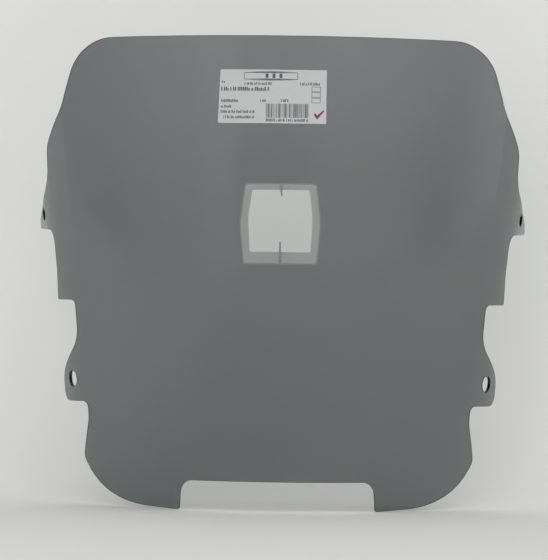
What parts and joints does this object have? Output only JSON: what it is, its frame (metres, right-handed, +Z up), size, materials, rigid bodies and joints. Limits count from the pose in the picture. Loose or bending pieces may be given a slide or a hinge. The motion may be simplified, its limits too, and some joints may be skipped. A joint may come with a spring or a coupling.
{
  "type": "motorcycle windshield screen",
  "caption": "Wrap-round tinted acrylic windshield screen with side mounting ears, a rebated ventilation window and a notched lower edge.",
  "frame": {"origin": "middle of the screen's box, on the plane that its two bottom lobes stand on", "axes": "+Z up the screen from the notched edge to the top edge, +Y towards the rider, from the convex outer face to the hollow inner side, +X to the right as seen from in front of the outer face"},
  "size_m": [0.4802, 0.1432, 0.4477],
  "materials": {
    "tinted_acrylic": "clear, smoke tinted, polished",
    "label_paper": "matte printed paper"
  },
  "bodies": {
    "root": {"screen_panel": "tinted_acrylic", "label": "label_paper"}
  },
  "joints": []
}
